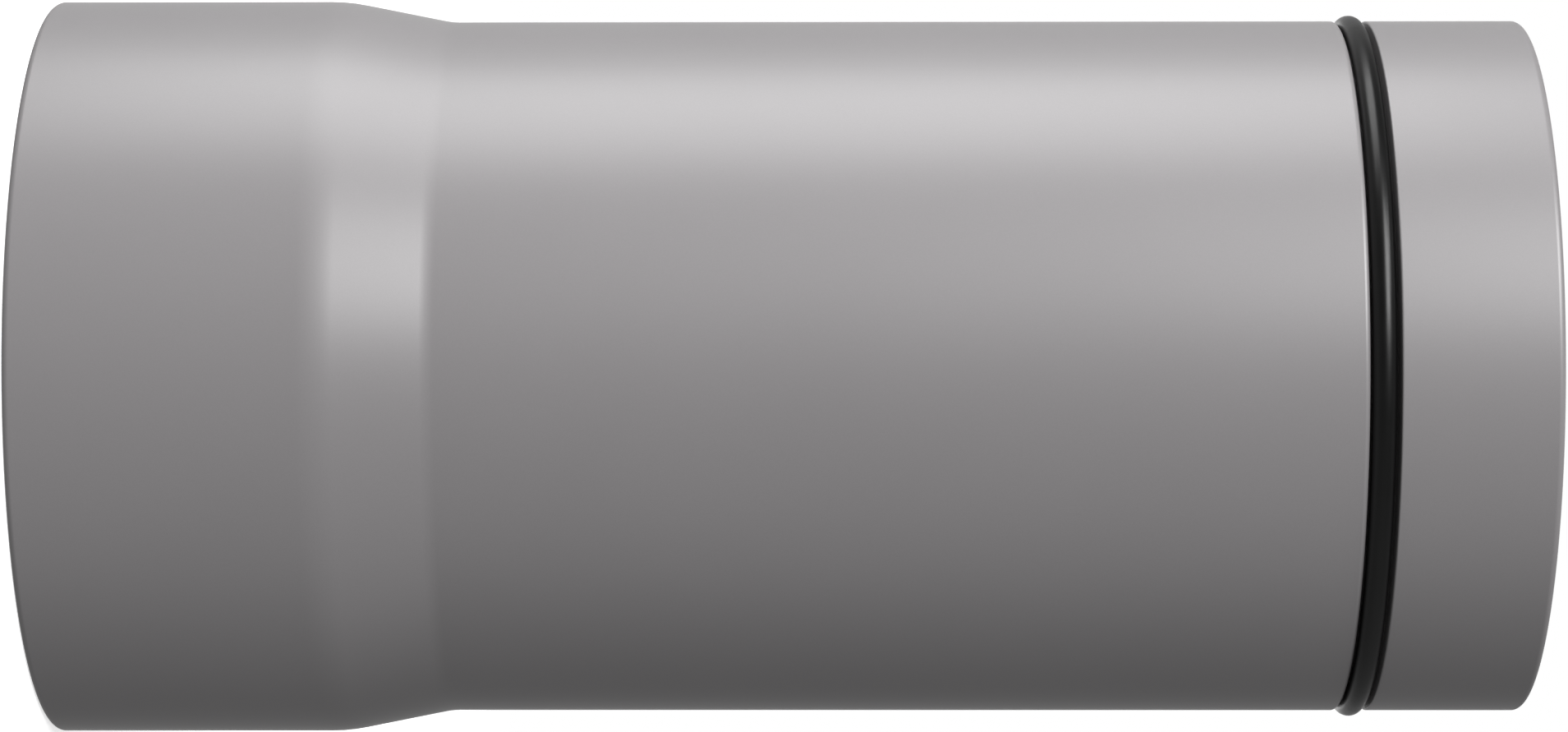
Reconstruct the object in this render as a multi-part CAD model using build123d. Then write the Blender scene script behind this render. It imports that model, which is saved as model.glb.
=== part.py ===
from build123d import *
import os

# Short straight pipe with an expanded socket at the foot and a grooved
# spigot at the top, sealed by a rubber ring. Millimetres, +Z up. The pipe
# stands on its socket end: the origin is the centre of the socket mouth.

# ---- driving dimensions -------------------------------------------------
tube_or = 60.0            # tube and spigot, outer radius (120 mm pipe)
wall = 3.0                # wall, the same all along
socket_gap = 0.6          # radial play of a spigot inside the socket
length = 253.4            # overall length

socket_end_z = 50.5       # where the socket and cone lines meet, outside
cone_end_z = 68.5         # where the cone and tube lines meet, outside
neck_socket_r = 30.0      # soft bend from socket to cone, outside
neck_tube_r = 12.0        # tighter bend from cone to tube, outside

groove_z = 224.1          # middle of the ring groove
groove_depth = 3.0        # below the tube surface
groove_low = 2.40         # groove middle to its socket-side edge, at the tube surface
groove_high = 2.75        # groove middle to its spigot-side edge, at the tube surface
groove_half_floor = 2.35  # half width of the groove at its floor
groove_low_r = 0.85       # soft shoulder on the socket side
groove_high_r = 0.35      # crisper shoulder on the spigot side
groove_floor_r = 1.5      # rounded corners of the groove floor

ridge_half_base = 5.3     # the groove shows inside as a low ridge
ridge_half_crest = 4.3
ridge_base_r = 1.2
ridge_crest_r = 3.0

rim_outer_r = 1.15        # rounded outer edge of both ends
rim_inner_r = 0.7         # smaller rounded inner edge of both ends

ring_section = 4.0        # round section of the sealing ring
ring_seat = 0.02          # how far the stretched ring is flattened on the floor

# ---- derived ------------------------------------------------------------
tube_ir = tube_or - wall
socket_ir = tube_or + socket_gap
socket_or = socket_ir + wall
floor_r = tube_or - groove_depth
ridge_r = floor_r - wall

# the inner lines of the cone lie one wall inside the outer ones
run = cone_end_z - socket_end_z
drop = socket_or - tube_or
slant = (run ** 2 + drop ** 2) ** 0.5
shift = wall * (slant - run) / drop      # along z, so the wall stays even
inner_socket_end_z = socket_end_z - shift
inner_cone_end_z = cone_end_z - shift


def corner(shape, r, z):
    """The profile's vertex at radius r and height z."""
    return min(shape.vertices(), key=lambda v: (v.X - r) ** 2 + (v.Y - z) ** 2)


def revolved(face):
    """Turn a profile drawn as (radius, height) once around the pipe axis."""
    return revolve(Plane.XZ * face, axis=Axis.Z, revolution_arc=360)


# ---- pipe_body: one formed tube ------------------------------------------
g = groove_z
outline = [
    # outside, from the socket mouth up
    (socket_or, 0.0, rim_outer_r),
    (socket_or, socket_end_z, neck_socket_r),
    (tube_or, cone_end_z, neck_tube_r),
    (tube_or, g - groove_low, groove_low_r),
    (floor_r, g - groove_half_floor, groove_floor_r),
    (floor_r, g + groove_half_floor, groove_floor_r),
    (tube_or, g + groove_high, groove_high_r),
    (tube_or, length, rim_outer_r),
    # inside, from the spigot mouth down
    (tube_ir, length, rim_inner_r),
    (tube_ir, g + ridge_half_base, ridge_base_r),
    (ridge_r, g + ridge_half_crest, ridge_crest_r),
    (ridge_r, g - ridge_half_crest, ridge_crest_r),
    (tube_ir, g - ridge_half_base, ridge_base_r),
    (tube_ir, inner_cone_end_z, neck_tube_r + wall),
    (socket_ir, inner_socket_end_z, neck_socket_r - wall),
    (socket_ir, 0.0, rim_inner_r),
]
profile = make_face(Polyline(*[(r, z) for r, z, _ in outline], close=True).edges())
for r, z, rad in outline:
    profile = fillet(corner(profile, r, z), radius=rad)
pipe_body = revolved(profile)

# ---- o_ring: stretched into the groove, resting on its floor --------------
ring_r = floor_r + ring_section / 2 - ring_seat
section = Pos(ring_r, groove_z) * Circle(ring_section / 2)
below = Pos(floor_r - ring_section / 2, groove_z) * Rectangle(ring_section, 2 * ring_section)
o_ring = revolved((section - below).face())

# ---- write -----------------------------------------------------------------
os.makedirs("parts", exist_ok=True)
for name, shape in (("pipe_body", pipe_body), ("o_ring", o_ring)):
    solid = shape.solids()
    if len(solid) != 1:
        raise ValueError(f"{name} has {len(solid)} solids")
    export_step(solid[0], f"parts/{name}.step")
    box = solid[0].bounding_box()
    print(f"{name}: {solid[0].volume / 1000:.2f} cm3, "
          f"{box.size.X:.2f} x {box.size.Y:.2f} x {box.size.Z:.2f} mm, valid {solid[0].is_valid}")
print(f"socket bore {socket_ir:.2f}, spigot {tube_or:.2f}, ring crest {ring_r + ring_section / 2:.2f}, ridge {ridge_r:.2f}")
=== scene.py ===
import cmath
import math

import bpy
from mathutils import Matrix, Vector


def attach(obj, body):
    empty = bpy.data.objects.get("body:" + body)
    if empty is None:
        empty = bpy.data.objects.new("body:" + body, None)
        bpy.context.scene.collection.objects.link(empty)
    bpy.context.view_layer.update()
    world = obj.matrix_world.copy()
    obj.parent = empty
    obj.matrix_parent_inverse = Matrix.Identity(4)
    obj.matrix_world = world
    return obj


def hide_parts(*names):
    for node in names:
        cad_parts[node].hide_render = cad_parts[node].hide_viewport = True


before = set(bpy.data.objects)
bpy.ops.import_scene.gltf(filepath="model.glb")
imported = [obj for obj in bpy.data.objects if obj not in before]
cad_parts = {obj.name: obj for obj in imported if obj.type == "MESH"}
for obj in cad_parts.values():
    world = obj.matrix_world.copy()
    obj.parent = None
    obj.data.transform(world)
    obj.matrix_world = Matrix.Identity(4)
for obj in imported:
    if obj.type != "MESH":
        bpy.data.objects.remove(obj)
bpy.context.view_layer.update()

scene = bpy.context.scene
MM = 0.001

# ------------------------------------------------------------------ camera
# The pipe stands on its socket end. The picture shows it lying across the
# frame, so the camera is turned on its side: picture right is +Z, up is -X.
PX_W, PX_H = 1909, 891
FOCAL_PX = 5689.2
CAM_DIST = 0.81745          # from the pipe axis
CAM_Z = 0.134456            # height of the foot of the perpendicular
YAW = 0.0103                # towards the socket
ROLL = 0.00049

fwd = Vector((0.0, math.cos(YAW), -math.sin(YAW)))
right = Vector((0.0, math.sin(YAW), math.cos(YAW)))
up = Vector((-1.0, 0.0, 0.0))
right, up = (right * math.cos(ROLL) - up * math.sin(ROLL),
             up * math.cos(ROLL) + right * math.sin(ROLL))
cam_data = bpy.data.cameras.new("view")
cam_data.sensor_fit = "HORIZONTAL"
cam_data.sensor_width = 36.0
cam_data.lens = 36.0 * FOCAL_PX / PX_W
cam_data.clip_start = 0.01
cam_data.clip_end = 100.0
cam = bpy.data.objects.new("view", cam_data)
rot = Matrix((right, up, -fwd)).transposed()
cam.matrix_world = Matrix.Translation((0.0, -CAM_DIST, CAM_Z)) @ rot.to_4x4()
scene.collection.objects.link(cam)
scene.camera = cam
scene.view_settings.view_transform = "Standard"
scene.view_settings.look = "None"


# ------------------------------------------------------------- node helpers
class Nodes:
    """A small helper round one node tree."""

    def __init__(self, tree):
        self.t = tree
        tree.nodes.clear()

    def add(self, kind, **props):
        n = self.t.nodes.new(kind)
        for k, v in props.items():
            setattr(n, k, v)
        return n

    def put(self, sock, value):
        if isinstance(value, bpy.types.NodeSocket):
            self.t.links.new(value, sock)
        else:
            sock.default_value = value

    def math(self, op, a, b=None, clamp=False):
        n = self.add("ShaderNodeMath", operation=op, use_clamp=clamp)
        self.put(n.inputs[0], a)
        if b is not None:
            self.put(n.inputs[1], b)
        return n.outputs[0]

    def noise(self, vec, scale, detail=2.0, rough=0.5):
        n = self.add("ShaderNodeTexNoise")
        self.put(n.inputs["Vector"], vec)
        n.inputs["Scale"].default_value = scale
        n.inputs["Detail"].default_value = detail
        n.inputs["Roughness"].default_value = rough
        return n.outputs["Fac"]

    def remap(self, v, lo, hi, a, b):
        n = self.add("ShaderNodeMapRange")
        self.put(n.inputs["Value"], v)
        n.inputs["From Min"].default_value = lo
        n.inputs["From Max"].default_value = hi
        n.inputs["To Min"].default_value = a
        n.inputs["To Max"].default_value = b
        return n.outputs["Result"]

    def bump(self, height, distance, strength=1.0, normal=None):
        n = self.add("ShaderNodeBump")
        self.put(n.inputs["Height"], height)
        n.inputs["Distance"].default_value = distance
        n.inputs["Strength"].default_value = strength
        if normal is not None:
            self.put(n.inputs["Normal"], normal)
        return n.outputs["Normal"]


def new_material(name):
    m = bpy.data.materials.new(name)
    m.use_nodes = True
    return m, Nodes(m.node_tree)


# ---------------------------------------------------------------- materials
def coat_material(name, tint, rough, coat_rough, peel):
    """Metallic base coat under a smooth satin clear coat: fine flake below,
    a hint of orange peel on top, even colour."""
    m, n = new_material(name)
    co = n.add("ShaderNodeTexCoord").outputs["Object"]
    out = n.add("ShaderNodeOutputMaterial")
    b = n.add("ShaderNodeBsdfPrincipled")
    n.t.links.new(b.outputs[0], out.inputs[0])
    cloud = n.noise(co, 38.0, 3.0, 0.55)          # 25 mm clouds in the coat
    flake = n.noise(co, 4200.0, 1.0, 0.5)         # quarter-millimetre flake
    shade = n.math("ADD", n.remap(cloud, 0.3, 0.7, -0.010, 0.010),
                   n.remap(flake, 0.3, 0.7, -0.02, 0.02))
    shade = n.math("ADD", shade, 1.0)
    col = n.add("ShaderNodeVectorMath", operation="SCALE")
    col.inputs[0].default_value = tint
    n.put(col.inputs["Scale"], shade)
    n.put(b.inputs["Base Color"], col.outputs[0])
    b.inputs["Metallic"].default_value = 0.044
    n.put(b.inputs["Roughness"], n.remap(n.noise(co, 120.0, 2.0), 0.3, 0.7, rough - 0.02, rough + 0.02))
    b.inputs["Specular IOR Level"].default_value = 0.0
    b.inputs["Coat Weight"].default_value = 1.0
    b.inputs["Coat Roughness"].default_value = coat_rough
    wave = n.noise(co, 620.0, 2.0, 0.45)
    n.put(b.inputs["Normal"], n.bump(wave, peel, 1.0))
    n.put(b.inputs["Coat Normal"], n.bump(n.noise(co, 420.0, 2.0, 0.45), peel, 1.0))
    return m


def rubber_material(name):
    """Smooth black sealing rubber with a soft shine."""
    m, n = new_material(name)
    co = n.add("ShaderNodeTexCoord").outputs["Object"]
    out = n.add("ShaderNodeOutputMaterial")
    b = n.add("ShaderNodeBsdfPrincipled")
    n.t.links.new(b.outputs[0], out.inputs[0])
    bloom = n.noise(co, 90.0, 4.0, 0.6)
    col = n.add("ShaderNodeVectorMath", operation="SCALE")
    col.inputs[0].default_value = (0.0015, 0.0015, 0.0015)
    n.put(col.inputs["Scale"], n.remap(bloom, 0.3, 0.7, 0.75, 1.3))
    n.put(b.inputs["Base Color"], col.outputs[0])
    n.put(b.inputs["Roughness"], n.remap(n.noise(co, 260.0, 3.0), 0.3, 0.7, 0.312, 0.352))
    b.inputs["IOR"].default_value = 1.310
    n.put(b.inputs["Normal"], n.bump(n.noise(co, 1500.0, 3.0), 0.000004, 1.0))
    return m


COAT = coat_material("pipe_coat_satin", (0.1523, 0.1464, 0.1495), 0.554, 0.396, 0.000003)
INSIDE = coat_material("pipe_coat_inside", (0.1462, 0.1405, 0.1435), 0.584, 0.446, 0.000005)
RUBBER = rubber_material("ring_rubber_black")


# ----------------------------------------------------------------- geometry
def rounded(outline, step_deg, longest):
    """Closed profile of (radius, height, fillet) corners as a list of points
    and outward normals, both complex (radius + height i). Straight runs are
    cut so that none is longer than longest."""
    count = len(outline)
    arcs = []
    for i, (r, z, rad) in enumerate(outline):
        p = complex(r, z)
        a = complex(*outline[i - 1][:2]) - p
        b = complex(*outline[(i + 1) % count][:2]) - p
        a, b = a / abs(a), b / abs(b)
        half = abs(cmath.phase(b / a)) / 2
        start, end = p + a * rad / math.tan(half), p + b * rad / math.tan(half)
        mid = (a + b) / abs(a + b)
        centre = p + mid * rad / math.sin(half)
        n0, n1 = 1j * a, -1j * b
        turn = cmath.phase(n1 / n0)
        sign = 1.0 if ((start - centre) / n0).real > 0 else -1.0
        steps = max(3, math.ceil(abs(math.degrees(turn)) / step_deg))
        pts = []
        for k in range(steps + 1):
            n = n0 * cmath.exp(1j * turn * k / steps)
            pts.append((centre + n * rad * sign, n))
        if abs(pts[0][0] - start) > 1e-6 or abs(pts[-1][0] - end) > 1e-6:
            raise ValueError("fillet does not close")
        arcs.append(pts)
    out = []
    for i in range(count):
        out += arcs[i]
        p, q = arcs[i][-1][0], arcs[(i + 1) % count][0][0]
        cuts = int(abs(q - p) // longest)
        n = -1j * (q - p) / abs(q - p)
        out += [(p + (q - p) * k / (cuts + 1), n) for k in range(1, cuts + 1)]
    return out


def lathe(name, profile, segments, inner=None):
    """Turn a closed profile round +Z, with exact normals. Faces whose points
    all pass inner(point) take the second material slot."""
    verts, norms, faces, slots = [], [], [], []
    for s in range(segments):
        a = 2 * math.pi * s / segments
        c, d = math.cos(a), math.sin(a)
        for p, n in profile:
            verts.append((p.real * c * MM, p.real * d * MM, p.imag * MM))
            norms.append((n.real * c, n.real * d, n.imag))
    k = len(profile)
    for s in range(segments):
        u = (s + 1) % segments
        for i in range(k):
            j = (i + 1) % k
            faces.append((s * k + i, u * k + i, u * k + j, s * k + j))
            slots.append(1 if inner and inner(profile[i][0]) and inner(profile[j][0]) else 0)
    me = bpy.data.meshes.new(name)
    me.from_pydata(verts, [], faces)
    me.polygons.foreach_set("use_smooth", [True] * len(faces))
    me.polygons.foreach_set("material_index", slots)
    me.update()
    me.normals_split_custom_set_from_vertices(norms)
    ob = bpy.data.objects.new(name, me)
    scene.collection.objects.link(ob)
    return ob


# the same driving sizes as the CAD source, millimetres
TUBE_R, WALL, GAP, LENGTH = 60.0, 3.0, 0.6, 253.4
SOCKET_R = TUBE_R + GAP + WALL
SOCKET_END, CONE_END, GROOVE_Z = 50.5, 68.5, 224.1
FLOOR_R = TUBE_R - 3.0
drop, run = SOCKET_R - TUBE_R, CONE_END - SOCKET_END
shift = WALL * (math.hypot(run, drop) - run) / drop
g = GROOVE_Z
outline = [
    (SOCKET_R, 0.0, 1.15), (SOCKET_R, SOCKET_END, 30.0), (TUBE_R, CONE_END, 12.0),
    (TUBE_R, g - 2.40, 0.85), (FLOOR_R, g - 2.35, 1.5), (FLOOR_R, g + 2.35, 1.5),
    (TUBE_R, g + 2.75, 0.35), (TUBE_R, LENGTH, 1.15),
    (TUBE_R - WALL, LENGTH, 0.7), (TUBE_R - WALL, g + 5.3, 1.2), (FLOOR_R - WALL, g + 4.3, 3.0),
    (FLOOR_R - WALL, g - 4.3, 3.0), (TUBE_R - WALL, g - 5.3, 1.2),
    (TUBE_R - WALL, CONE_END - shift, 15.0), (SOCKET_R - WALL, SOCKET_END - shift, 27.0),
    (SOCKET_R - WALL, 0.0, 0.7),
]


def is_inside(p):
    wall_mid = SOCKET_R - 2.3 if p.imag < 55 else TUBE_R - 2.3
    return p.real < wall_mid and not (abs(p.imag - g) < 3.3 and p.real > FLOOR_R - 0.01)


pipe = lathe("pipe_shell", rounded(outline, 6.0, 9.0), 360, is_inside)
pipe.data.materials.append(COAT)
pipe.data.materials.append(INSIDE)
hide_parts("pipe_body")
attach(pipe, "root")

# the ring: round section with the small flat where it sits on the groove floor
SECTION, SEAT = 4.0, 0.02
ring_mid = FLOOR_R + SECTION / 2 - SEAT
flat = math.acos((SECTION / 2 - SEAT) / (SECTION / 2))
ring_profile = []
for k in range(57):
    # from one side of the flat round the outside to the other
    a = math.pi + flat + (2 * math.pi - 2 * flat) * k / 56
    n = cmath.exp(1j * a)
    ring_profile.append((complex(ring_mid, g) + n * (SECTION / 2), n))
ring = lathe("seal_ring", ring_profile, 320)
ring.data.materials.append(RUBBER)
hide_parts("o_ring")
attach(ring, "root")


# ------------------------------------------------------------------ studio
def softbox(name, azimuth, dist, half_w, z0, z1, radiance):
    """A rectangular softbox parallel to the pipe, facing its axis. Azimuth 0
    is the camera side (-Y) and 90 the -X side. Sizes in metres."""
    a = math.radians(azimuth)
    light = bpy.data.lights.new(name, "AREA")
    light.shape = "RECTANGLE"
    light.size = 2 * half_w
    light.size_y = z1 - z0
    light.energy = radiance * math.pi * (2 * half_w) * (z1 - z0)
    ob = bpy.data.objects.new(name, light)
    out = Vector((-math.sin(a), -math.cos(a), 0.0))
    side = Vector((-math.cos(a), math.sin(a), 0.0))
    axis = Vector((0.0, 0.0, 1.0))
    if side.cross(axis).dot(out) < 0:
        side = -side
    ob.matrix_world = Matrix.Translation(out * dist + axis * ((z0 + z1) / 2)) @ Matrix((side, axis, out)).transposed().to_4x4()
    scene.collection.objects.link(ob)
    return ob


softbox("key_side", 87.0, 0.656, 0.232, -0.111, 0.366, 5.837)
softbox("second_box", 33.2, 2.628, 0.901, 0.878, 2.945, 18.169)
softbox("upper_fill", 52.1, 1.000, 0.218, 1.319, 1.539, 25.511)
softbox("back_fill", 180.4, 1.000, 0.264, -1.532, 2.068, 1.253)

# a soft graded surround: brighter overhead and on the key side
world = bpy.data.worlds.new("surround")
scene.world = world
world.use_nodes = True
world.cycles.sampling_method = "NONE"
w = Nodes(world.node_tree)
sep = w.add("ShaderNodeSeparateXYZ")
w.put(sep.inputs[0], w.add("ShaderNodeTexCoord").outputs["Generated"])
kx = w.math("MULTIPLY", sep.outputs["X"], -1.0)
ky = w.math("MULTIPLY", sep.outputs["Y"], -1.0)
kz = sep.outputs["Z"]
level = 0.2310
terms = [(-0.0828, kx, None), (0.0120, ky, None), (-0.1470, kz, None), (0.1772, kx, kx),
         (-0.0260, ky, ky), (-0.3115, kx, ky), (-0.1731, kx, kz), (-0.0114, ky, kz)]
total = None
for k, a, b in terms:
    t = w.math("MULTIPLY", a, k) if b is None else w.math("MULTIPLY", w.math("MULTIPLY", a, b), k)
    total = w.math("ADD", t, level) if total is None else w.math("ADD", total, t)
for out, sign, power, k in (("Y", 1.0, 8.0, 0.5223), ("Z", 1.0, 6.0, 0.3023), ("Z", -1.0, 6.0, 0.3600)):
    lobe = w.math("POWER", w.math("MAXIMUM", w.math("MULTIPLY", sep.outputs[out], sign), 0.0), power)
    total = w.math("ADD", total, w.math("MULTIPLY", lobe, k))
total = w.math("MAXIMUM", total, 0.0)
bg = w.add("ShaderNodeBackground")
bg.inputs["Color"].default_value = (1.0, 1.0, 1.0, 1.0)
w.put(bg.inputs["Strength"], total)
w.t.links.new(bg.outputs[0], w.add("ShaderNodeOutputWorld").inputs[0])


def stage_mesh(name, verts, faces, mat, smooth=False):
    me = bpy.data.meshes.new(name)
    me.from_pydata(verts, [], faces)
    me.polygons.foreach_set("use_smooth", [smooth] * len(faces))
    me.materials.append(mat)
    ob = bpy.data.objects.new(name, me)
    scene.collection.objects.link(ob)
    return ob


# white sweep far behind everything, seen by the camera only
white, n = new_material("backdrop_white")
em = n.add("ShaderNodeEmission")
em.inputs["Color"].default_value = (1.0, 1.0, 1.0, 1.0)
em.inputs["Strength"].default_value = 1.0
n.t.links.new(em.outputs[0], n.add("ShaderNodeOutputMaterial").inputs[0])
rows, cols, rad = 16, 32, 9.0
verts = [(0, 0, rad), (0, 0, -rad)]
for i in range(1, rows):
    t = math.pi * i / rows
    verts += [(rad * math.sin(t) * math.cos(2 * math.pi * j / cols), rad * math.sin(t) * math.sin(2 * math.pi * j / cols), rad * math.cos(t)) for j in range(cols)]
faces = []
for j in range(cols):
    faces.append((0, 2 + j, 2 + (j + 1) % cols))
    last = 2 + (rows - 2) * cols
    faces.append((1, last + (j + 1) % cols, last + j))
    for i in range(rows - 2):
        p = 2 + i * cols
        faces.append((p + j, p + cols + j, p + cols + (j + 1) % cols, p + (j + 1) % cols))
dome = stage_mesh("backdrop", verts, faces, white)
for flag in ("visible_diffuse", "visible_glossy", "visible_transmission", "visible_volume_scatter", "visible_shadow"):
    setattr(dome, flag, False)

# pale floor, melting into the white backdrop with distance
pale, n = new_material("floor_pale")
co = n.add("ShaderNodeTexCoord").outputs["Object"]
dist = n.add("ShaderNodeVectorMath", operation="LENGTH")
n.put(dist.inputs[0], co)
fade = n.add("ShaderNodeMapRange", interpolation_type="SMOOTHSTEP")
n.put(fade.inputs["Value"], dist.outputs["Value"])
fade.inputs["From Min"].default_value = 0.30
fade.inputs["From Max"].default_value = 1.20
grain = n.remap(n.noise(co, 300.0, 3.0), 0.3, 0.7, 0.80, 0.83)
grey = n.add("ShaderNodeCombineColor")
for k in range(3):
    n.put(grey.inputs[k], grain)
dif = n.add("ShaderNodeBsdfPrincipled")
n.put(dif.inputs["Base Color"], grey.outputs[0])
dif.inputs["Roughness"].default_value = 1.0
dif.inputs["Specular IOR Level"].default_value = 0.0
dif.inputs["Emission Color"].default_value = (1.0, 1.0, 1.0, 1.0)
dif.inputs["Emission Strength"].default_value = 0.62
clear = n.add("ShaderNodeBsdfTransparent")
mix = n.add("ShaderNodeMixShader")
n.put(mix.inputs[0], fade.outputs["Result"])
n.t.links.new(dif.outputs[0], mix.inputs[1])
n.t.links.new(clear.outputs[0], mix.inputs[2])
n.t.links.new(mix.outputs[0], n.add("ShaderNodeOutputMaterial").inputs[0])
seg = 96
verts = [(0.0, 0.0, 0.0)] + [(1.25 * math.cos(2 * math.pi * k / seg), 1.25 * math.sin(2 * math.pi * k / seg), 0.0) for k in range(seg)]
floor = stage_mesh("floor", verts, [(0, 1 + k, 1 + (k + 1) % seg) for k in range(seg)], pale)
for flag in ("visible_diffuse", "visible_glossy", "visible_shadow"):
    setattr(floor, flag, False)
